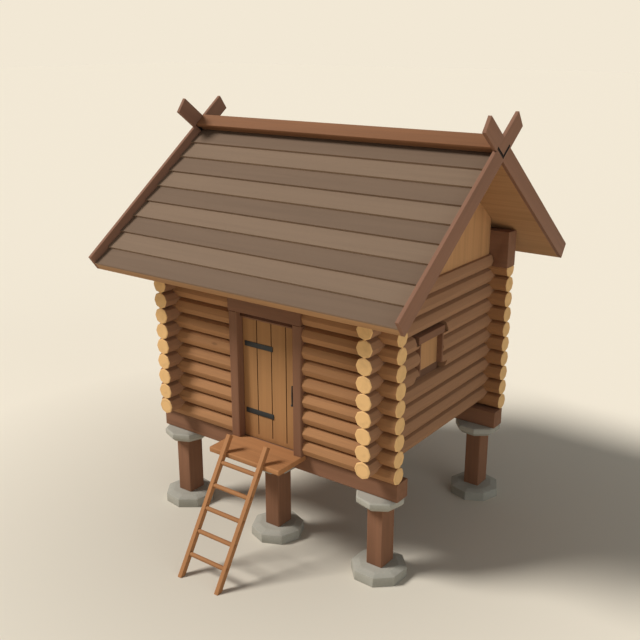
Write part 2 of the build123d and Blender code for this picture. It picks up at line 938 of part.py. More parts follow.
arm_pieces = [
    block(
        (x - arm_size / 2, x + arm_size / 2),
        (mid_y - sill_face - arm_reach, mid_y - sill_face + housing_depth - seat_gap),
        (arm_top - arm_size, arm_top),
    )
    for x in arm_places
]
with BuildPart() as landing_arms:
    add(arm_pieces)

stile_plane = Plane(
    origin=(0, mid_y - ladder_foot, 0),
    x_dir=(1, 0, 0),
    z_dir=(0, ladder_run, ladder_rise),
)
rung_places = [rung_first + k * rung_pitch for k in range(rung_count)]


def ladder_point(along):
    """A point of the ladder's middle plane, this far up from its foot."""
    return (mid_y - ladder_foot + along * ladder_run, along * ladder_rise)


def stile(side):
    """A ladder stile cut level at the ground, bored for the rungs and notched over the landing."""
    x = side * ladder_spacing / 2
    across = (x - stile_width, x + stile_width)
    notch_y = (mid_y - landing_reach - seat_gap, mid_y - sill_face)
    notch_z = (sill_top - landing_thickness - seat_gap, sill_top + seat_gap)
    with BuildPart() as timber:
        with BuildSketch(stile_plane.offset(-stile_depth)):
            with Locations((x, 0)):
                Rectangle(stile_width, stile_depth)
        extrude(amount=ladder_length + stile_depth)
        split(bisect_by=Plane.XY, keep=Keep.TOP)
        with BuildSketch(Plane.YZ.offset(x)):
            with Locations(*[ladder_point(along) for along in rung_places]):
                RegularPolygon(tenon_radius + seat_gap, rung_sides)
        extrude(amount=stile_width, both=True, mode=Mode.SUBTRACT)
        add(block(across, notch_y, notch_z), mode=Mode.SUBTRACT)
    return timber.part


left_stile = stile(-1)
with BuildPart() as ladder_left_stile:
    add(left_stile)

right_stile = stile(1)
with BuildPart() as ladder_right_stile:
    add(right_stile)

# Each rung swells between the stiles, and its tenons run through them.
shoulder = ladder_spacing / 2 - stile_width / 2 - seat_gap
tenon_reach = ladder_spacing / 2 + stile_width / 2 + rung_proud
with BuildPart() as ladder_rungs:
    for radius, reach in ((rung_radius, shoulder), (tenon_radius, tenon_reach)):
        with BuildSketch(Plane.YZ):
            with Locations(*[ladder_point(along) for along in rung_places]):
                RegularPolygon(radius, rung_sides)
        extrude(amount=reach, both=True)

# ---------------------------------------------------------------- export

pieces = {
    "front_footings": front_footings,
    "back_footings": back_footings,
    "front_posts": front_posts,
    "back_posts": back_posts,
    "front_staddle_caps": front_staddle_caps,
    "back_staddle_caps": back_staddle_caps,
    "front_sill": front_sill,
    "back_sill": back_sill,
    "floor_joists": floor_joists,
    "floor_boards": floor_boards,
    "gable_skirting_boards": gable_skirting_boards,
    "front_wall_left_logs": front_wall_left_logs,
    "front_wall_right_logs": front_wall_right_logs,
    "front_wall_top_log": front_wall_top_log,
    "back_wall_logs": back_wall_logs,
    "left_gable_logs": left_gable_logs,
    "right_gable_logs": right_gable_logs,
    "front_wall_plate": front_wall_plate,
    "back_wall_plate": back_wall_plate,
    "ridge_beam": ridge_beam,
    "king_posts": king_posts,
    "left_gable_boards": left_gable_boards,
    "right_gable_boards": right_gable_boards,
    "front_roof_deck": front_roof_deck,
    "back_roof_deck": back_roof_deck,
    "front_roof_dark_courses": front_roof_dark_courses,
    "front_roof_light_courses": front_roof_light_courses,
    "back_roof_dark_courses": back_roof_dark_courses,
    "back_roof_light_courses": back_roof_light_courses,
    "ridge_cap": ridge_cap,
    "left_front_bargeboard": left_front_bargeboard,
    "left_back_bargeboard": left_back_bargeboard,
    "right_front_bargeboard": right_front_bargeboard,
    "right_back_bargeboard": right_back_bargeboard,
    "left_door_jamb": left_door_jamb,
    "right_door_jamb": right_door_jamb,
    "door_lintel": door_lintel,
    "door_leaf": door_leaf,
    "door_straps": door_straps,
    "door_pintles": door_pintles,
    "door_handle": door_handle,
    "window_frame": window_frame,
    "window_shutter": window_shutter,
    "landing_board": landing_board,
    "landing_arms": landing_arms,
    "ladder_left_stile": ladder_left_stile,
    "ladder_right_stile": ladder_right_stile,
    "ladder_rungs": ladder_rungs,
}

os.makedirs("parts", exist_ok=True)
for name, piece in pieces.items():
    piece.part.label = name
    export_step(piece.part, f"parts/{name}.step")
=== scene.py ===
"""Looks of the raised log granary: logs, boards, stones, iron, studio floor, lamps and camera."""
import math

import bmesh
import bpy
from mathutils import Matrix, Vector, noise


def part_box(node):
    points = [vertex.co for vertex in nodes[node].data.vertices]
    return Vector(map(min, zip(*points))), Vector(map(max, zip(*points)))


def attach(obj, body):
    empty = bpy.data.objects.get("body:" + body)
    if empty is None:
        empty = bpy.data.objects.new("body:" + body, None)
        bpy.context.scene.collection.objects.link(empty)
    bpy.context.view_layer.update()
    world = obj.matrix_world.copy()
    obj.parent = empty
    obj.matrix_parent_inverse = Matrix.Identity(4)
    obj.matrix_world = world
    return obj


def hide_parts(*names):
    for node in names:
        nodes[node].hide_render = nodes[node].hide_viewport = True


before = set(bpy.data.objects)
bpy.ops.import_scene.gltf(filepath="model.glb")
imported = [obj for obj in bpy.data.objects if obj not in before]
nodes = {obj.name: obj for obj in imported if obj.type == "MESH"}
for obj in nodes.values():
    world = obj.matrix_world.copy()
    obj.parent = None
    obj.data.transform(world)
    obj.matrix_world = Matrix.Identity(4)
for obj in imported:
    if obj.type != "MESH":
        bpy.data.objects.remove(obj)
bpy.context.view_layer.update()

# ---------------------------------------------------------------- places taken from the CAD nodes

front_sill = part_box("front_sill")
back_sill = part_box("back_sill")
HOUSE_Y = (front_sill[0].y + back_sill[1].y) / 2  # the log room's middle
SILL_TOP = front_sill[1].z
LOG_PITCH = 0.2  # height of a row of logs
LOG_ROWS = 10
LOG_RADIUS = (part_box("front_wall_top_log")[1].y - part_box("front_wall_top_log")[0].y) / 2
WALL_Y = (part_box("back_wall_logs")[0].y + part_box("back_wall_logs")[1].y) / 2 - HOUSE_Y
WALL_X = (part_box("right_gable_logs")[0].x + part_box("right_gable_logs")[1].x) / 2
LONG_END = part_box("back_wall_logs")[1].x
GABLE_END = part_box("left_gable_logs")[1].y - HOUSE_Y
ROOF_SLOPE = math.radians(36.53)
LADDER_LEAN = math.radians(57.9)


# ---------------------------------------------------------------- materials


def srgb(red, green, blue):
    """A colour from its 0 to 255 screen values."""
    out = []
    for value in (red, green, blue):
        c = value / 255
        out.append(c / 12.92 if c <= 0.04045 else ((c + 0.055) / 1.055) ** 2.4)
    return (*out, 1.0)


def shaded(colour, factor):
    """A colour made darker or paler by a factor."""
    return (colour[0] * factor, colour[1] * factor, colour[2] * factor, 1.0)


def grey(value):
    return (value, value, value, 1.0)


class Nodes:
    """A small helper that adds and links shader nodes."""

    def __init__(self, name):
        self.material = bpy.data.materials.new(name)
        self.material.use_nodes = True
        self.tree = self.material.node_tree
        self.shader = self.tree.nodes["Principled BSDF"]

    def add(self, kind, **values):
        """A new node; a value whose name starts with in_ goes on the input socket of that name."""
        node = self.tree.nodes.new(kind)
        for key, value in values.items():
            if key.startswith("in_"):
                node.inputs[key[3:].replace("_", " ")].default_value = value
            else:
                setattr(node, key, value)
        return node

    def link(self, source, target):
        self.tree.links.new(source, target)

    def mix(self, kind, factor, first, second):
        """A colour mix node; each argument is a socket or a plain value."""
        node = self.add("ShaderNodeMix", data_type="RGBA", blend_type=kind)
        for socket, value in ((0, factor), (6, first), (7, second)):
            if hasattr(value, "is_output"):
                self.link(value, node.inputs[socket])
            else:
                node.inputs[socket].default_value = value
        return node.outputs[2]

    def multiply(self, first, second):
        return self.mix("MULTIPLY", 1.0, first, second)

    def ramp(self, source, stops):
        """A colour ramp on a value; stops are (place, colour)."""
        node = self.add("ShaderNodeValToRGB")
        while len(node.color_ramp.elements) < len(stops):
            node.color_ramp.elements.new(0.5)
        for element, (place, colour) in zip(node.color_ramp.elements, stops):
            element.position = place
            element.color = colour
        self.link(source, node.inputs["Fac"])
        return node.outputs["Color"]

    def scaled_place(self, source, across, along, axis):
        """Coordinates with one scale along the grain's axis and another across it."""
        scale = [across, across, across]
        scale[axis] = along
        mapping = self.add("ShaderNodeMapping", in_Scale=scale)
        self.link(source, mapping.inputs["Vector"])
        return mapping.outputs["Vector"]

    def noise(self, source, **values):
        """The value of a noise texture at the given coordinates."""
        node = self.add("ShaderNodeTexNoise", **values)
        self.link(source, node.inputs["Vector"])
        return node.outputs["Fac"]

    def multiply_add(self, first, factor, added):
        node = self.add("ShaderNodeMath", operation="MULTIPLY_ADD")
        self.link(first, node.inputs[0])
        node.inputs[1].default_value = factor
        self.link(added, node.inputs[2])
        return node.outputs["Value"]

    def relief(self, height, strength, distance):
        """Bump from a height."""
        bump = self.add("ShaderNodeBump", in_Strength=strength, in_Distance=distance)
        self.link(height, bump.inputs["Height"])
        self.link(bump.outputs["Normal"], self.shader.inputs["Normal"])

    def finish(self, colour, specular=None, roughness=None, metallic=None):
        """Sets the shader's colour and its plain values, and gives the material."""
        self.link(colour, self.shader.inputs["Base Color"])
        for name, value in (
            ("Specular IOR Level", specular),
            ("Roughness", roughness),
            ("Metallic", metallic),
        ):
            if value is not None:
                self.shader.inputs[name].default_value = value
        return self.material


GRAIN_TURNS = {
    "X": (0.0, 0.0, 0.0),
    "Y": (0.0, 0.0, -math.pi / 2),
    "Z": (0.0, math.pi / 2, 0.0),
}
ISLAND_SHIFT = (3.1, 7.7, 5.3)  # moves the grain from board to board
# how quickly a pattern changes across the grain and along it, per metre
BROAD_GRAIN = (14.0, 0.55)
FINE_GRAIN = (95.0, 1.6)
KNOT_CELLS = (2.6, 0.9)
RING_WOBBLE = 0.012  # how far the growth rings stray from circles
RING_RATE = 560.0  # growth rings, in radians of their wave per metre


def timber(name, colour, grain="X", tilt=0.0, contrast=0.12, roughness=0.78, knots=False):
    """Planed or peeled wood whose grain runs along one axis, or along Y tilted about X."""
    t = Nodes(name)
    place = t.add("ShaderNodeTexCoord")
    turn = t.add("ShaderNodeMapping", in_Rotation=(tilt, 0.0, 0.0) if tilt else GRAIN_TURNS[grain])
    t.link(place.outputs["Object"], turn.inputs["Vector"])
    axis = 1 if tilt else 0

    island = t.add("ShaderNodeNewGeometry").outputs["Random Per Island"]
    shift = t.add("ShaderNodeVectorMath", operation="SCALE")
    shift.inputs[0].default_value = ISLAND_SHIFT
    t.link(island, shift.inputs["Scale"])
    moved = t.add("ShaderNodeVectorMath", operation="ADD")
    t.link(turn.outputs["Vector"], moved.inputs[0])
    t.link(shift.outputs["Vector"], moved.inputs[1])
    wood = moved.outputs["Vector"]

    broad_place = t.scaled_place(wood, *BROAD_GRAIN, axis)
    broad = t.noise(broad_place, in_Scale=1.0, in_Detail=4.0, in_Roughness=0.55, in_Distortion=0.6)
    fine_place = t.scaled_place(wood, *FINE_GRAIN, axis)
    fine = t.noise(fine_place, in_Scale=1.0, in_Detail=3.0, in_Roughness=0.6, in_Distortion=0.3)

    darkest = grey(1.0 - contrast)
    palest = grey(1.0 + contrast * 0.7)
    broad_tone = t.ramp(broad, [(0.3, darkest), (0.52, grey(1.0)), (0.72, palest)])
    fine_tone = t.ramp(fine, [(0.32, grey(1.0 - contrast * 0.8)), (0.55, grey(1.0))])
    island_tone = t.ramp(island, [(0.0, grey(1.0 - contrast * 0.5)), (1.0, grey(1.0 + contrast * 0.4))])
    body = t.multiply(colour, t.multiply(t.multiply(broad_tone, fine_tone), island_tone))
    if knots:
        cell = t.add("ShaderNodeTexVoronoi", in_Scale=1.0, in_Randomness=1.0)
        t.link(t.scaled_place(wood, *KNOT_CELLS, axis), cell.inputs["Vector"])
        spot = t.ramp(cell.outputs["Distance"], [(0.0, grey(0.62)), (0.035, grey(0.7)), (0.06, grey(1.0))])
        body = t.multiply(body, spot)

    t.relief(t.multiply_add(fine, 0.5, broad), 0.25, 0.002)
    rough = t.add("ShaderNodeMapRange", in_From_Min=0.3, in_From_Max=0.7)
    rough.inputs["To Min"].default_value = roughness - 0.06
    rough.inputs["To Max"].default_value = roughness + 0.08
    t.link(fine, rough.inputs["Value"])
    t.link(rough.outputs["Result"], t.shader.inputs["Roughness"])
    return t.finish(body, specular=0.25)


def end_grain(name, colour):
    """Cut log end: growth rings round the log's own heart."""
    t = Nodes(name)
    place = t.add("ShaderNodeAttribute", attribute_name="heart", attribute_type="GEOMETRY").outputs["Vector"]
    wobble = t.noise(place, in_Scale=9.0, in_Detail=2.0)
    length = t.add("ShaderNodeVectorMath", operation="LENGTH")
    t.link(place, length.inputs[0])
    bent = t.multiply_add(wobble, RING_WOBBLE, length.outputs["Value"])
    wave = t.add("ShaderNodeMath", operation="MULTIPLY")
    t.link(bent, wave.inputs[0])
    wave.inputs[1].default_value = RING_RATE
    sine = t.add("ShaderNodeMath", operation="SINE")
    t.link(wave.outputs["Value"], sine.inputs[0])
    ring = sine.outputs["Value"]
    ring_tone = t.ramp(ring, [(0.0, grey(1.0)), (0.9, grey(0.93)), (1.0, grey(0.88))])
    heart_tone = t.ramp(bent, [(0.0, grey(0.9)), (0.02, grey(1.0)), (0.11, grey(1.0))])
    island = t.add("ShaderNodeNewGeometry").outputs["Random Per Island"]
    island_tone = t.ramp(island, [(0.0, grey(0.95)), (1.0, grey(1.04))])
    body = t.multiply(colour, t.multiply(t.multiply(ring_tone, heart_tone), island_tone))
    t.relief(ring, 0.15, 0.001)
    return t.finish(body, specular=0.2, roughness=0.85)


def stone(name, colour):
    """Hewn grey stone with fine speckle and faint stains."""
    t = Nodes(name)
    place = t.add("ShaderNodeTexCoord").outputs["Object"]
    speckle = t.noise(place, in_Scale=85.0, in_Detail=4.0, in_Roughness=0.7)
    stain = t.noise(place, in_Scale=5.0, in_Detail=4.0, in_Roughness=0.6)
    fine = t.ramp(speckle, [(0.3, grey(0.9)), (0.6, grey(1.03))])
    broad = t.ramp(stain, [(0.3, (0.92, 0.925, 0.91, 1.0)), (0.65, grey(1.02))])
    t.relief(t.multiply_add(stain, 3.0, speckle), 0.35, 0.003)
    return t.finish(t.multiply(colour, t.multiply(fine, broad)), specular=0.3, roughness=0.9)


def iron(name, colour):
    """Blackened forged iron with hammer marks and a little rust."""
    t = Nodes(name)
    place = t.add("ShaderNodeTexCoord").outputs["Object"]
    marks = t.add("ShaderNodeTexVoronoi", in_Scale=55.0, feature="SMOOTH_F1")
    t.link(place, marks.inputs["Vector"])
    patches = t.noise(place, in_Scale=30.0, in_Detail=4.0)
    rust = t.ramp(patches, [(0.58, grey(0.0)), (0.72, grey(0.5))])
    t.relief(marks.outputs["Distance"], 0.4, 0.001)
    return t.finish(t.mix("MIX", rust, colour, RUST_COLOUR), roughness=0.55, metallic=0.35)


LOG_COLOUR = srgb(160, 114, 74)
# The gable logs are painted darker and greyer than the front logs: painted shade of the gable wall that
# faces away from the key lamp.
GABLE_LOG_SHADED_COLOUR = srgb(149, 109, 78)
END_COLOUR = srgb(219, 175, 118)
DARK_COLOUR = srgb(124, 86, 62)
BARGE_COLOUR = srgb(129, 92, 71)
CAP_COLOUR = srgb(125, 84, 55)
BOARD_COLOUR = srgb(176, 130, 86)
DOOR_COLOUR = srgb(161, 116, 72)
LADDER_COLOUR = srgb(166, 115, 72)
ROOF_DARK = srgb(113, 92, 74)
ROOF_LIGHT = srgb(126, 104, 84)
DECK_COLOUR = srgb(164, 122, 82)
# dark brown painted shade: the strip under the lintel, the band over the head stop and the door's plank
# grooves
JOINT_SHADE_COLOUR = srgb(72, 36, 10)
# near-black painted shade in the bargeboards' V groove, standing for a deep shadowed gap
VEE_SHADE_COLOUR = srgb(7, 5, 4)
STONE_COLOUR = srgb(162, 157, 144)
IRON_COLOUR = srgb(38, 40, 40)
RUST_COLOUR = (0.07, 0.035, 0.02, 1.0)
# floor colour near the house, darker as painted shade of the house
FLOOR_NEAR_SHADED = srgb(203, 194, 177)
FLOOR_FAR = srgb(244, 233, 213)
BACKDROP = srgb(242, 232, 213)
SKY = (0.96, 0.985, 1.0, 1.0)

POST_LIFT = 1.09  # how much paler the posts are than the other dark timber
SILL_PAINTED_SHADE = 0.6  # the window sill's colour as a share of that of dark timber, darkened as painted shade of the recess under the shutter
RUNG_SHADE = 0.9  # the rungs' colour as a share of that of the stiles
EDGE_PAINTED_LIGHT = 1.45  # how much paler the roof boards' lower edges are painted: painted light on faces that lie in shade
ROOF_LOOK = {"grain": "X", "contrast": 0.06, "roughness": 0.85}

log_x = timber("log_along_x", LOG_COLOUR, "X", contrast=0.1, knots=True)
# gable logs in their painted shade colour
log_y = timber("log_along_y", GABLE_LOG_SHADED_COLOUR, "Y", contrast=0.1, knots=True)
log_end = end_grain("log_end", END_COLOUR)
dark_x = timber("dark_timber_along_x", DARK_COLOUR, "X")
dark_y = timber("dark_timber_along_y", DARK_COLOUR, "Y")
dark_z = timber("dark_timber_along_z", DARK_COLOUR, "Z")
post_wood = timber("post_timber", shaded(DARK_COLOUR, POST_LIFT), "Z")
cap_x = timber("ridge_cap_timber", CAP_COLOUR, "X", contrast=0.1)
barge_front = timber("bargeboard_timber_front", BARGE_COLOUR, tilt=-ROOF_SLOPE, contrast=0.1)
barge_back = timber("bargeboard_timber_back", BARGE_COLOUR, tilt=ROOF_SLOPE, contrast=0.1)
board_z = timber("board_along_z", BOARD_COLOUR, "Z", contrast=0.14)
board_x = timber("board_along_x", BOARD_COLOUR, "X", contrast=0.14)
board_y = timber("board_along_y", BOARD_COLOUR, "Y", contrast=0.14)
deck_x = timber("deck_board", DECK_COLOUR, "X")
roof_dark = timber("roof_board_dark", ROOF_DARK, **ROOF_LOOK)
roof_light = timber("roof_board_light", ROOF_LIGHT, **ROOF_LOOK)
dark_edge_painted_light = timber("roof_dark_edge_painted_light", shaded(ROOF_DARK, EDGE_PAINTED_LIGHT), **ROOF_LOOK)
light_edge_painted_light = timber("roof_light_edge_painted_light", shaded(ROOF_LIGHT, EDGE_PAINTED_LIGHT), **ROOF_LOOK)
door_z = timber("door_plank", DOOR_COLOUR, "Z", contrast=0.08, knots=True)
shutter_z = timber("shutter_plank", BOARD_COLOUR, "Z")
landing_x = timber("landing_plank", LADDER_COLOUR, "X", contrast=0.1)
sill_painted_shade = timber("window_sill_painted_shade", shaded(DARK_COLOUR, SILL_PAINTED_SHADE), "Y")
joint_painted_shade = timber("joints_painted_shade", JOINT_SHADE_COLOUR, "Z", contrast=0.2)
vee_painted_shade = timber("vee_groove_painted_shade", VEE_SHADE_COLOUR, "Y", contrast=0.2)
ladder_up = timber("ladder_stile", LADDER_COLOUR, tilt=-LADDER_LEAN)
rung_x = timber("ladder_rung", shaded(LADDER_COLOUR, RUNG_SHADE), "X")
stone_grey = stone("hewn_stone", STONE_COLOUR)
iron_black = iron("forged_iron", IRON_COLOUR)


# ---------------------------------------------------------------- making pieces


def finish_piece(obj, node_names, body="granary"):
    """Hides the CAD nodes that a piece stands for, and hangs the piece on the body it moves with."""
    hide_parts(*node_names)
    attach(obj, body)
    return obj


def new_object(name, mesh_data, materials):
    """An object in the scene from a bmesh, which is freed."""
    data = bpy.data.meshes.new(name)
    mesh_data.to_mesh(data)
    mesh_data.free()
    for material in materials:
        data.materials.append(material)
    obj = bpy.data.objects.new(name, data)
    bpy.context.scene.collection.objects.link(obj)
    return obj


def smooth(obj, angle):
    """Smooth shading, with edges sharper than the angle kept crisp."""
    for polygon in obj.data.polygons:
        polygon.use_smooth = True
    work = bmesh.new()
    work.from_mesh(obj.data)
    for edge in work.edges:
        if len(edge.link_faces) == 2 and edge.calc_face_angle(0) > math.radians(angle):
            edge.smooth = False
    work.to_mesh(obj.data)
    work.free()


WELD_REACH = 1e-5  # corners nearer to one another than this become one
FLAT_ANGLE = math.radians(1.0)  # faces that turn by less become one
ARRIS_ANGLE = math.radians(25)  # an edge that turns by less isn't an arris
NARROW_SHARE = 0.25  # easing of the other edges where a rule picks the broad ones
# How quickly the unevenness changes, per metre. No seed is set for Blender's noise, which then takes its
# offset from the clock, so uneven pieces come out a little different in every run.
ROUGH_SCALE = 6.0
LEVEL_MARGIN = 1e-4  # corners this near a piece's top or bottom count as on it


def eased(
    node,
    name,
    material,
    slot,
    width,
    segments=2,
    body="granary",
    rough=0.0,
    inlay=None,
    clamp=True,
    broad=None,
    shape=None,
):
    """A piece with the CAD node's own shape and eased arrises.

    shape changes the mesh first, and rough then makes it a little uneven. inlay is a second material and
    the rule that picks its faces, whose edges stay sharp. broad is a rule for the edges that are eased by
    the whole width.
    """
    work = bmesh.new()
    work.from_mesh(nodes[node].data)
    bmesh.ops.remove_doubles(work, verts=work.verts, dist=WELD_REACH)
    bmesh.ops.dissolve_limit(work, angle_limit=FLAT_ANGLE, verts=work.verts, edges=work.edges)
    for face in work.faces:
        face.material_index = 0
    if shape:
        shape(work)
    if rough:
        low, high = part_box(node)
        for vert in work.verts:
            if low.z + LEVEL_MARGIN < vert.co.z < high.z - LEVEL_MARGIN:
                push = noise.noise_vector(vert.co * ROUGH_SCALE) * rough
                vert.co += Vector((push.x, push.y, 0))
    materials = [material]
    for face in work.faces:
        face.smooth = True
    if inlay:
        inlay_material, picks = inlay
        materials.append(inlay_material)
        for face in work.faces:
            if picks(face):
                face.material_index = 1
    weight = work.edges.layers.float.new("bevel_weight_edge")
    for edge in work.edges:
        if edge.calc_face_angle(0) < ARRIS_ANGLE:
            continue
        if any(face.material_index for face in edge.link_faces):
            edge.smooth = False
            continue
        edge[weight] = 1.0
        if broad and not broad(edge):
            edge[weight] = NARROW_SHARE
    obj = new_object(name, work, materials)
    bevel = obj.modifiers.new("eased_arrises", "BEVEL")
    bevel.width = width
    bevel.segments = segments
    bevel.limit_method = "WEIGHT"
    bevel.harden_normals = True
    bevel.use_clamp_overlap = clamp
    return finish_piece(obj, [node], body)


def cut_at(level):
    """A shape rule that parts a piece's faces at a level, so that a strip can have its own material."""

    def cut(work):
        bmesh.ops.bisect_plane(
            work,
            geom=work.verts[:] + work.edges[:] + work.faces[:],
            plane_co=(0, 0, level),
            plane_no=(0, 0, 1),
        )

    return cut


# ---------------------------------------------------------------- logs

LOG_SECTION = 40  # points round a log
HEWN = 0.75  # how far the section goes from round towards eight flats
FLAT_TURN = math.pi / 4  # from one flat to the next
END_EASE = 0.009  # chamfer round a log's end
LOG_STEP = 0.5  # rings along a log lie about this far apart
CUT_STEP = 1e-4  # half the length over which a cut starts or ends
LOG_CREASE = 35  # degrees; sharper edges of a log stay crisp
RING_SHIFT = 0.37  # moves the growth rings' pattern from log to log
WHOLE_LENGTH = (-9.0, 9.0)  # past both ends of any log
NO_LIMIT = 1.0  # further from a log's axis than any log reaches


def log_radius_at(angle):
    """Radius of the hewn section at an angle: eight flats with softened corners."""
    part = angle % FLAT_TURN - FLAT_TURN / 2
    flat = math.cos(FLAT_TURN / 2) / math.cos(part)
    return LOG_RADIUS * (HEWN * flat + (1 - HEWN))


def ring_places(start, end, free, cuts):
    """Where the rings of a log lie, in order, each with how far it draws in for an eased end."""
    places = {start: 0.0, end: 0.0}
    count = max(1, int((end - start) / LOG_STEP))
    for k in range(1, count + 1):
        places[start + (end - start) * k / (count + 1)] = 0.0
    if free[0]:
        places[start] = END_EASE
        places[start + END_EASE] = 0.0
    if free[1]:
        places[end] = END_EASE
        places[end - END_EASE] = 0.0
    for low, high, _, _ in cuts:
        for edge in (low - CUT_STEP, low + CUT_STEP, high - CUT_STEP, high + CUT_STEP):
            if start < edge < end:
                places[edge] = 0.0
    return sorted(places.items())


def add_log(work, hearts, axis, log, seed):
    """Adds a log along X or Y.

    Its free ends are eased and pale. A cut is (from, to, lowest, highest): how far down and up the log
    goes from its axis along that stretch.
    """
    centre, start, end, free, cuts = log["centre"], log["start"], log["end"], log["free"], log["cuts"]
    loops = []
    for along, inset in ring_places(start, end, free, cuts):
        limits = [(lowest, highest) for low, high, lowest, highest in cuts if low < along < high]
        lowest = max([limit[0] for limit in limits], default=-NO_LIMIT)
        highest = min([limit[1] for limit in limits], default=NO_LIMIT)
        loop = []
        for k in range(LOG_SECTION):
            angle = 2 * math.pi * k / LOG_SECTION
            radius = log_radius_at(angle) - inset
            across = radius * math.cos(angle)
            up = min(max(radius * math.sin(angle), lowest), highest)
            point = (along, centre[0] + across, centre[1] + up)
            if axis == "Y":
                point = (centre[0] + across, along, centre[1] + up)
            vert = work.verts.new(point)
            vert[hearts] = Vector((across, up, seed * RING_SHIFT))
            loop.append(vert)
        loops.append(loop)
    for number, (first, second) in enumerate(zip(loops, loops[1:])):
        pale = (number == 0 and free[0]) or (number == len(loops) - 2 and free[1])
        for k in range(LOG_SECTION):
            n = (k + 1) % LOG_SECTION
            corners = (first[k], first[n], second[n], second[k])
            if axis == "X":
                corners = corners[::-1]
            face = work.faces.new(corners)
            face.material_index = 1 if pale else 0
            face.smooth = True
    for loop, outward, pale in ((loops[0], -1, free[0]), (loops[-1], 1, free[1])):
        middle = work.verts.new(sum((v.co for v in loop), Vector()) / LOG_SECTION)
        middle[hearts] = Vector((0.0, 0.0, seed * RING_SHIFT))
        for k in range(LOG_SECTION):
            n = (k + 1) % LOG_SECTION
            face = work.faces.new((loop[k], loop[n], middle))
            face.material_index = 1 if pale else 0
            face.normal_update()
            facing = face.normal.x if axis == "X" else face.normal.y
            if facing * outward < 0:
                face.normal_flip()


def log_piece(name, node, axis, logs):
    """One piece for all the logs of a CAD node."""
    work = bmesh.new()
    hearts = work.verts.layers.float_vector.new("heart")
    for number, log in enumerate(logs):
        add_log(work, hearts, axis, log, seed=number + 1)
    bmesh.ops.recalc_face_normals(work, faces=work.faces)
    material = log_x if axis == "X" else log_y
    obj = new_object(name, work, [material, log_end])
    smooth(obj, LOG_CREASE)
    return finish_piece(obj, [node])


def long_level(row):
    """Height of the axes of a row in the front and back walls."""
    return SILL_TOP + LOG_PITCH * (row + 0.5)


def gable_level(row):
    """The same in the gable walls, which stand half a log higher."""
    return SILL_TOP + LOG_PITCH * (row + 1)


TOP_ROW = LOG_ROWS - 1
door_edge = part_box("front_wall_right_logs")[0].x
front_y = HOUSE_Y - WALL_Y
back_y = HOUSE_Y + WALL_Y
plate_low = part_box("front_wall_plate")[0].z
top_flat = (*WHOLE_LENGTH, -NO_LIMIT, plate_low - long_level(TOP_ROW))
foot_flat = (*WHOLE_LENGTH, SILL_TOP - long_level(0), NO_LIMIT)


def long_row(y, row, start=-LONG_END, end=LONG_END, free=(True, True)):
    """A log of the front or back wall, flat under the plate or over the sill."""
    cuts = []
    if row == 0:
        cuts.append(foot_flat)
    if row == TOP_ROW:
        cuts.append(top_flat)
    return {"centre": (y, long_level(row)), "start": start, "end": end, "free": free, "cuts": cuts}


left_logs = [long_row(front_y, row, end=-door_edge, free=(True, False)) for row in range(TOP_ROW)]
right_logs = [long_row(front_y, row, start=door_edge, free=(False, True)) for row in range(TOP_ROW)]
log_piece("log_wall_front_left", "front_wall_left_logs", "X", left_logs)
log_piece("log_wall_front_right", "front_wall_right_logs", "X", right_logs)
log_piece("log_wall_front_top", "front_wall_top_log", "X", [long_row(front_y, TOP_ROW)])
log_piece("log_wall_back", "back_wall_logs", "X", [long_row(back_y, row) for row in range(LOG_ROWS)])

WINDOW_EAR = 0.025  # how far the window's head and sill run past its sides
WINDOW_HOUSING = 0.09  # how far the logs are cut back for them
boards_low, boards_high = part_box("right_gable_boards")
gable_flat = (boards_low.y, boards_high.y, -NO_LIMIT, boards_low.z - gable_level(TOP_ROW))
gable_from = HOUSE_Y - GABLE_END
gable_to = HOUSE_Y + GABLE_END
window_low, window_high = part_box("window_frame")
window_from = window_low.y + WINDOW_EAR
window_to = window_high.y - WINDOW_EAR
ear_span = (window_from - WINDOW_HOUSING, window_to + WINDOW_HOUSING)
shutter_low, shutter_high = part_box("window_shutter")


def gable_row(x, row, start=gable_from, end=gable_to, free=(True, True)):
    """A log of a gable wall, cut for the gable boards or for the ears of the window's frame."""
    level = gable_level(row)
    cuts = []
    if row == TOP_ROW:
        cuts.append(gable_flat)
    if free != (True, True) and level - LOG_RADIUS < window_low.z:
        cuts.append((*ear_span, shutter_low.z - level, NO_LIMIT))
    if free != (True, True) and level + LOG_RADIUS > window_high.z:
        cuts.append((*ear_span, -NO_LIMIT, shutter_high.z - level))
    return {"centre": (x, level), "start": start, "end": end, "free": free, "cuts": cuts}


left_gable = [gable_row(-WALL_X, row) for row in range(LOG_ROWS)]
log_piece("log_wall_left_gable", "left_gable_logs", "Y", left_gable)
right_gable = []
for row in range(LOG_ROWS):
    if window_low.z < gable_level(row) < window_high.z:
        right_gable.append(gable_row(WALL_X, row, end=window_from, free=(True, False)))
        right_gable.append(gable_row(WALL_X, row, start=window_to, free=(False, True)))
    else:
        right_gable.append(gable_row(WALL_X, row))
log_piece("log_wall_right_gable", "right_gable_logs", "Y", right_gable)

# ---------------------------------------------------------------- stones

FOOTING_TOP = 0.77  # what a footing's flat top draws in to, as a share of its width
STONE_EASE = 0.005
FOOTING_ROUGHNESS = 0.01
CAP_ROUGHNESS = 0.008


def stones_of(work):
    """The separate solids of a mesh, each as a list of its corners."""
    seen = set()
    groups = []
    for start in work.verts:
        if start in seen:
            continue
        seen.add(start)
        group = [start]
        for vert in group:
            for edge in vert.link_edges:
                other = edge.other_vert(vert)
                if other not in seen:
                    seen.add(other)
                    group.append(other)
        groups.append(group)
    return groups


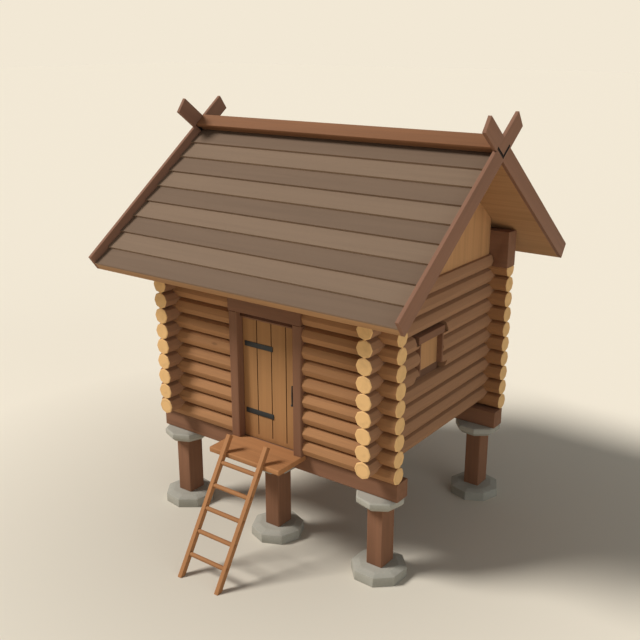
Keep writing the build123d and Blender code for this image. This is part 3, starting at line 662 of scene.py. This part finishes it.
def wear_tops(work):
    """Draws in the flat top of each stone, so that its worn top arris gets wider and shallower."""
    for group in stones_of(work):
        heart = sum((vert.co for vert in group), Vector()) / len(group)
        highest = max(vert.co.z for vert in group)
        for vert in group:
            if vert.co.z > highest - LEVEL_MARGIN:
                vert.co.x = heart.x + (vert.co.x - heart.x) * FOOTING_TOP
                vert.co.y = heart.y + (vert.co.y - heart.y) * FOOTING_TOP


for row in ("front", "back"):
    eased(
        f"{row}_footings",
        f"{row}_footing_stones",
        stone_grey,
        "stone",
        STONE_EASE,
        rough=FOOTING_ROUGHNESS,
        shape=wear_tops,
    )
for row in ("front", "back"):
    eased(
        f"{row}_staddle_caps",
        f"{row}_cap_stones",
        stone_grey,
        "stone",
        STONE_EASE,
        rough=CAP_ROUGHNESS,
    )

# ---------------------------------------------------------------- timber and boards

# node, piece, material, slot, easing
FRAME_PIECES = (
    ("front_posts", "front_post_timbers", post_wood, "dark_timber", 0.004),
    ("back_posts", "back_post_timbers", post_wood, "dark_timber", 0.004),
    ("front_sill", "front_sill_timber", dark_x, "dark_timber", 0.004),
    ("back_sill", "back_sill_timber", dark_x, "dark_timber", 0.004),
    ("floor_joists", "floor_joist_timbers", dark_y, "dark_timber", 0.004),
    ("floor_boards", "floor_planks", board_x, "board_timber", 0.003),
    ("gable_skirting_boards", "skirting_planks", board_y, "board_timber", 0.003),
    ("front_wall_plate", "front_plate_timber", dark_x, "dark_timber", 0.008),
    ("back_wall_plate", "back_plate_timber", dark_x, "dark_timber", 0.008),
    ("ridge_beam", "ridge_beam_timber", dark_x, "dark_timber", 0.006),
    ("king_posts", "king_post_timbers", dark_z, "dark_timber", 0.005),
    ("left_gable_boards", "left_gable_planks", board_z, "board_timber", 0.003),
    ("right_gable_boards", "right_gable_planks", board_z, "board_timber", 0.003),
    ("front_roof_deck", "front_deck_planks", deck_x, "board_timber", 0.003),
    ("back_roof_deck", "back_deck_planks", deck_x, "board_timber", 0.003),
)
for piece in FRAME_PIECES:
    eased(*piece)

ROOF_EASE = 0.008
OUTWARD = 0.7  # a lower edge's normal points out by more than this
DOWNWARD = 0.3  # and down by more than this


def in_lower_edge(face):
    """Whether a face belongs to the lower edge of a roof board, which is painted paler as painted light."""
    return abs(face.normal.y) > OUTWARD and face.normal.z < -DOWNWARD


# the boards' lower edges get painted light, paler than the shade that falls on them
for slope in ("front", "back"):
    for tone, wood, edge_painted_light in (("dark", roof_dark, dark_edge_painted_light), ("light", roof_light, light_edge_painted_light)):
        eased(
            f"{slope}_roof_{tone}_courses",
            f"{slope}_{tone}_roof_boards",
            wood,
            f"roof_{tone}",
            ROOF_EASE,
            segments=3,
            inlay=(edge_painted_light, in_lower_edge),
        )
eased("ridge_cap", "ridge_cap_board", cap_x, "barge_timber", ROOF_EASE)

# ---------------------------------------------------------------- bargeboards

VEE_DEPTH = 0.012  # of the V groove where the boards cross
VEE_SPREAD = 0.010  # how far its rim is opened on each side
DEPTH_MARGIN = 0.0006  # how near to a depth a face's middle has to lie
BARGE_EASE = 0.005
barge_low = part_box("right_front_bargeboard")[0].x
barge_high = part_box("right_front_bargeboard")[1].x


def barge_depth(face):
    """How far a face's middle lies inside a bargeboard's nearer side."""
    across = abs(face.calc_center_bounds().x)
    return min(abs(across - barge_low), abs(across - barge_high))


def in_vee(face):
    """Whether a face belongs to the V groove, which is painted black as painted shade."""
    deep = barge_depth(face)
    return abs(deep - VEE_DEPTH) < DEPTH_MARGIN or abs(deep - VEE_DEPTH / 2) < DEPTH_MARGIN


def widen_vee(work):
    """Opens the groove's rim, with its slopes in the inlay's painted shade."""
    rim = []
    for edge in work.edges:
        depths = sorted(barge_depth(face) for face in edge.link_faces)
        on_side = len(depths) == 2 and depths[0] < DEPTH_MARGIN / 2
        if on_side and abs(depths[1] - VEE_DEPTH / 2) < DEPTH_MARGIN:
            rim.append(edge)
    bmesh.ops.bevel(
        work,
        geom=rim,
        offset=VEE_SPREAD,
        segments=1,
        profile=0.5,
        affect="EDGES",
        material=1,
        clamp_overlap=False,
    )


# the V groove where the boards cross is painted black, as painted shade
for side in ("left", "right"):
    for slope, wood in (("front", barge_front), ("back", barge_back)):
        eased(
            f"{side}_{slope}_bargeboard",
            f"{side}_{slope}_barge",
            wood,
            "barge_timber",
            BARGE_EASE,
            inlay=(vee_painted_shade, in_vee),
            shape=widen_vee,
        )

# ---------------------------------------------------------------- door frame and leaf

JAMB_SHADE_HEIGHT = 0.011  # height of the strip at a jamb's top, under the lintel, that is painted dark as painted shade
HEAD_STOP_LIP = 0.019  # height of the head stop's lit strip, under the band above it that is painted dark as painted shade
JAMB_EASE = 0.022  # easing of a jamb's upright corners at the front
UPRIGHT_LENGTH = 0.5  # of a jamb's edges, only its uprights are longer
FRONT_MARGIN = 0.001  # corners this near a jamb's front count as on it
FACING_FRONT = 0.9  # a face whose normal points forward by more than this looks to the front
GROOVE_DEPTHS = (0.001, 0.0095)  # between which the faces of the leaf's grooves lie
jamb_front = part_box("left_door_jamb")[0].y
jamb_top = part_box("left_door_jamb")[1].z  # the lintel lies on it
leaf_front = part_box("door_leaf")[0].y
jamb_shade_bottom = jamb_top - JAMB_SHADE_HEIGHT
lip_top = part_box("door_lintel")[0].z + HEAD_STOP_LIP


def jamb_corner(edge):
    """Whether an edge is an upright corner at the front of a door jamb."""
    low, high = sorted(vert.co.z for vert in edge.verts)
    at_front = all(abs(vert.co.y - jamb_front) < FRONT_MARGIN for vert in edge.verts)
    return at_front and high - low > UPRIGHT_LENGTH


def in_jamb_shade(face):
    """Whether a face belongs to the painted shade strip at a jamb's top."""
    return face.calc_center_bounds().z > jamb_shade_bottom


def in_head_shade(face):
    """Whether a face belongs to the band between the lintel and the head stop's lit strip, which is painted
    dark as painted shade.
    """
    return face.normal.y < -FACING_FRONT and lip_top < face.calc_center_bounds().z < jamb_top


def in_plank_groove(face):
    """Whether a face belongs to a groove between the door's planks, which is painted dark as painted shade.
    """
    return GROOVE_DEPTHS[0] < face.calc_center_bounds().y - leaf_front < GROOVE_DEPTHS[1]


# each jamb's top strip is painted dark, as painted shade under the lintel
for side in ("left", "right"):
    eased(
        f"{side}_door_jamb",
        f"{side}_jamb_timber",
        dark_z,
        "dark_timber",
        JAMB_EASE,
        segments=4,
        inlay=(joint_painted_shade, in_jamb_shade),
        broad=jamb_corner,
        clamp=False,
        shape=cut_at(jamb_shade_bottom),
    )
# the head stop's upper front is painted dark, as painted shade under the lintel
eased(
    "door_lintel",
    "lintel_timber",
    dark_x,
    "dark_timber",
    width=0.008,
    inlay=(joint_painted_shade, in_head_shade),
    shape=cut_at(lip_top),
)
# the grooves between the planks are painted dark, as painted shade
eased(
    "door_leaf",
    "door_planks",
    door_z,
    "door_timber",
    width=0.003,
    body="door",
    inlay=(joint_painted_shade, in_plank_groove),
)
eased("door_straps", "strap_irons", iron_black, "iron", width=0.003, body="door")

# ---------------------------------------------------------------- door handle

HANDLE_SIDES = 24  # flats round a turned piece
HANDLE_CREASE = 40  # degrees; sharper edges of the handle stay crisp
GRIP_INSET = 0.0139  # from the solid handle's front to the grip's axis
# From the solid handle's lower end to the lower arm's axis, which lies 2.5 mm higher in the solid.
FOOT_RISE = 0.015
ARM_SPACING = 0.232  # between the axes of the two arms that carry the grip
ARM_RADIUS = 0.0075
KNOB_RADIUS = 0.0165  # of the ball at the grip's foot
KNOB_START = -0.48  # where the ball's outline starts, in half turns from its equator
KNOB_SWEEP = 0.82  # and how far it goes
# (distance from the foot, radius), for the grip over the ball and for the boss of each arm
GRIP = [(0.03, 0.0085), (0.12, 0.0105), (0.21, 0.0085), (0.238, 0.0085), (0.242, 0.005)]
BOSS = [(0.0, 0.019), (0.003, 0.019), (0.006, 0.014)]
handle_low, handle_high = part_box("door_handle")
handle_x = (handle_low.x + handle_high.x) / 2
grip_y = handle_low.y + GRIP_INSET
foot_z = handle_low.z + FOOT_RISE
head_z = foot_z + ARM_SPACING


def turned(work, start, axis, profile):
    """Adds a round piece: profile gives (distance along the axis, radius) from its start."""
    axis = Vector(axis)
    side = axis.orthogonal().normalized()
    rings = []
    for along, radius in profile:
        ring = []
        for k in range(HANDLE_SIDES):
            turn = Matrix.Rotation(2 * math.pi * k / HANDLE_SIDES, 3, axis)
            ring.append(work.verts.new(Vector(start) + axis * along + turn @ side * radius))
        rings.append(ring)
    for first, second in zip(rings, rings[1:]):
        for k in range(HANDLE_SIDES):
            n = (k + 1) % HANDLE_SIDES
            work.faces.new((first[k], first[n], second[n], second[k])).smooth = True
    work.faces.new(rings[0][::-1])
    work.faces.new(rings[-1])


def knob(radius, steps=8):
    """The outline of a ball, up to where a grip of half its radius leaves it."""
    points = []
    for k in range(steps + 1):
        angle = math.pi * (KNOB_START + KNOB_SWEEP * k / steps)
        points.append((radius * math.sin(angle), radius * math.cos(angle)))
    return points


work = bmesh.new()
turned(work, (handle_x, grip_y, foot_z), (0, 0, 1), knob(KNOB_RADIUS) + GRIP)
arm = [(0.0, ARM_RADIUS), (leaf_front - grip_y, ARM_RADIUS)]
for level in (foot_z, head_z):
    turned(work, (handle_x, leaf_front, level), (0, -1, 0), arm)
    turned(work, (handle_x, leaf_front, level), (0, -1, 0), BOSS)
bmesh.ops.recalc_face_normals(work, faces=work.faces)
handle = new_object("handle_iron", work, [iron_black])
smooth(handle, HANDLE_CREASE)
finish_piece(handle, ["door_handle"], "door")
eased("door_pintles", "pintle_irons", iron_black, "iron", width=0.001)

# ---------------------------------------------------------------- window, landing and ladder


def in_sill(face):
    """Whether a face belongs to the window's sill, which is painted darker as painted shade."""
    return face.calc_center_bounds().z < shutter_low.z


# the sill is painted darker, as painted shade under the shutter
eased("window_frame", "window_frame_boards", dark_y, "dark_timber", width=0.004, inlay=(sill_painted_shade, in_sill))
eased("window_shutter", "window_shutter_planks", shutter_z, "door_timber", width=0.003)
eased("landing_board", "landing_plank_board", landing_x, "ladder_timber", width=0.006, segments=3)
eased("landing_arms", "landing_arm_timbers", dark_y, "dark_timber", width=0.004)
eased("ladder_left_stile", "ladder_stile_left", ladder_up, "ladder_timber", width=0.006)
eased("ladder_right_stile", "ladder_stile_right", ladder_up, "ladder_timber", width=0.006)
eased("ladder_rungs", "ladder_rung_rods", rung_x, "ladder_timber", width=0.003)

# ---------------------------------------------------------------- floor, world, lamps and camera

FLOOR_HALF = 150  # half the floor's width
FLOOR_FORWARD = 0.9  # how far before the house's middle the floor's painted shade is deepest
FLOOR_REACH = 14.0  # distance that the places of the floor's tones are shares of
FLOOR_SINK = 0.001  # how far the floor lies under the footings
SKY_STRENGTH = 0.2
LAMP_DISTANCE = 10
CAMERA_PLACE = (6.2446, HOUSE_Y - 8.8294, 5.961)
CAMERA_DROP = 0.31113  # radians that the camera looks down
CAMERA_TURN = 0.63262  # and to the left


def floor_material():
    """Pale floor with painted shade round the house, deepest near it, that meets the backdrop's colour far
    off.
    """
    t = Nodes("studio_floor")
    place = t.add("ShaderNodeTexCoord")
    centre = t.add("ShaderNodeVectorMath", operation="SUBTRACT")
    t.link(place.outputs["Object"], centre.inputs[0])
    centre.inputs[1].default_value = (0.0, HOUSE_Y - FLOOR_FORWARD, 0.0)
    far = t.add("ShaderNodeVectorMath", operation="LENGTH")
    t.link(centre.outputs["Vector"], far.inputs[0])
    share = t.add("ShaderNodeMath", operation="DIVIDE")
    t.link(far.outputs["Value"], share.inputs[0])
    share.inputs[1].default_value = FLOOR_REACH
    tone = t.ramp(share.outputs["Value"], [(0.08, FLOOR_NEAR_SHADED), (0.44, FLOOR_FAR)])
    return t.finish(tone, specular=0.0, roughness=1.0)


work = bmesh.new()
bmesh.ops.create_grid(work, x_segments=8, y_segments=8, size=FLOOR_HALF)
floor = new_object("studio_floor_sheet", work, [floor_material()])
floor.location.z = -FLOOR_SINK


def set_world():
    """Soft sky light, and the backdrop's colour where the camera, gloss and glass look past the floor."""
    world = bpy.data.worlds.new("studio")
    bpy.context.scene.world = world
    world.use_nodes = True
    tree = world.node_tree
    tree.nodes.clear()

    def background(colour, strength):
        node = tree.nodes.new("ShaderNodeBackground")
        node.inputs["Color"].default_value = colour
        node.inputs["Strength"].default_value = strength
        return node.outputs[0]

    def either(first, second):
        node = tree.nodes.new("ShaderNodeMath")
        node.operation = "MAXIMUM"
        tree.links.new(first, node.inputs[0])
        tree.links.new(second, node.inputs[1])
        return node.outputs[0]

    rays = tree.nodes.new("ShaderNodeLightPath").outputs
    seen = either(either(rays["Is Camera Ray"], rays["Is Glossy Ray"]), rays["Is Transmission Ray"])
    blend = tree.nodes.new("ShaderNodeMixShader")
    tree.links.new(seen, blend.inputs["Fac"])
    tree.links.new(background(SKY, SKY_STRENGTH), blend.inputs[1])
    tree.links.new(background(BACKDROP, 1.0), blend.inputs[2])
    output = tree.nodes.new("ShaderNodeOutputWorld")
    tree.links.new(blend.outputs[0], output.inputs["Surface"])


def sun(name, toward, strength, spread, colour=(1.0, 1.0, 1.0)):
    """A distant lamp; toward points from the object to the lamp, and spread is in degrees."""
    data = bpy.data.lights.new(name, "SUN")
    data.energy = strength
    data.angle = math.radians(spread)
    data.color = colour
    lamp = bpy.data.objects.new(name, data)
    lamp.rotation_euler = Vector(toward).to_track_quat("Z", "Y").to_euler()
    lamp.location = Vector(toward) * LAMP_DISTANCE
    bpy.context.scene.collection.objects.link(lamp)


set_world()
sun("key_lamp", toward=(-0.521, -0.463, 0.717), strength=1.04 * math.pi, spread=18)
sun(
    "fill_lamp",
    toward=(0.93, -0.3, 0.14),
    strength=0.31 * math.pi,
    spread=50,
    colour=(0.86, 0.94, 1.0),
)

camera_data = bpy.data.cameras.new("camera")
camera = bpy.data.objects.new("camera", camera_data)
camera_data.lens = 49.78
camera_data.sensor_width = 36
camera_data.clip_end = 500
camera.location = CAMERA_PLACE
camera.rotation_euler = (math.pi / 2 - CAMERA_DROP, 0.0, CAMERA_TURN)
bpy.context.scene.collection.objects.link(camera)
bpy.context.scene.camera = camera

bpy.context.scene.view_settings.view_transform = "Standard"
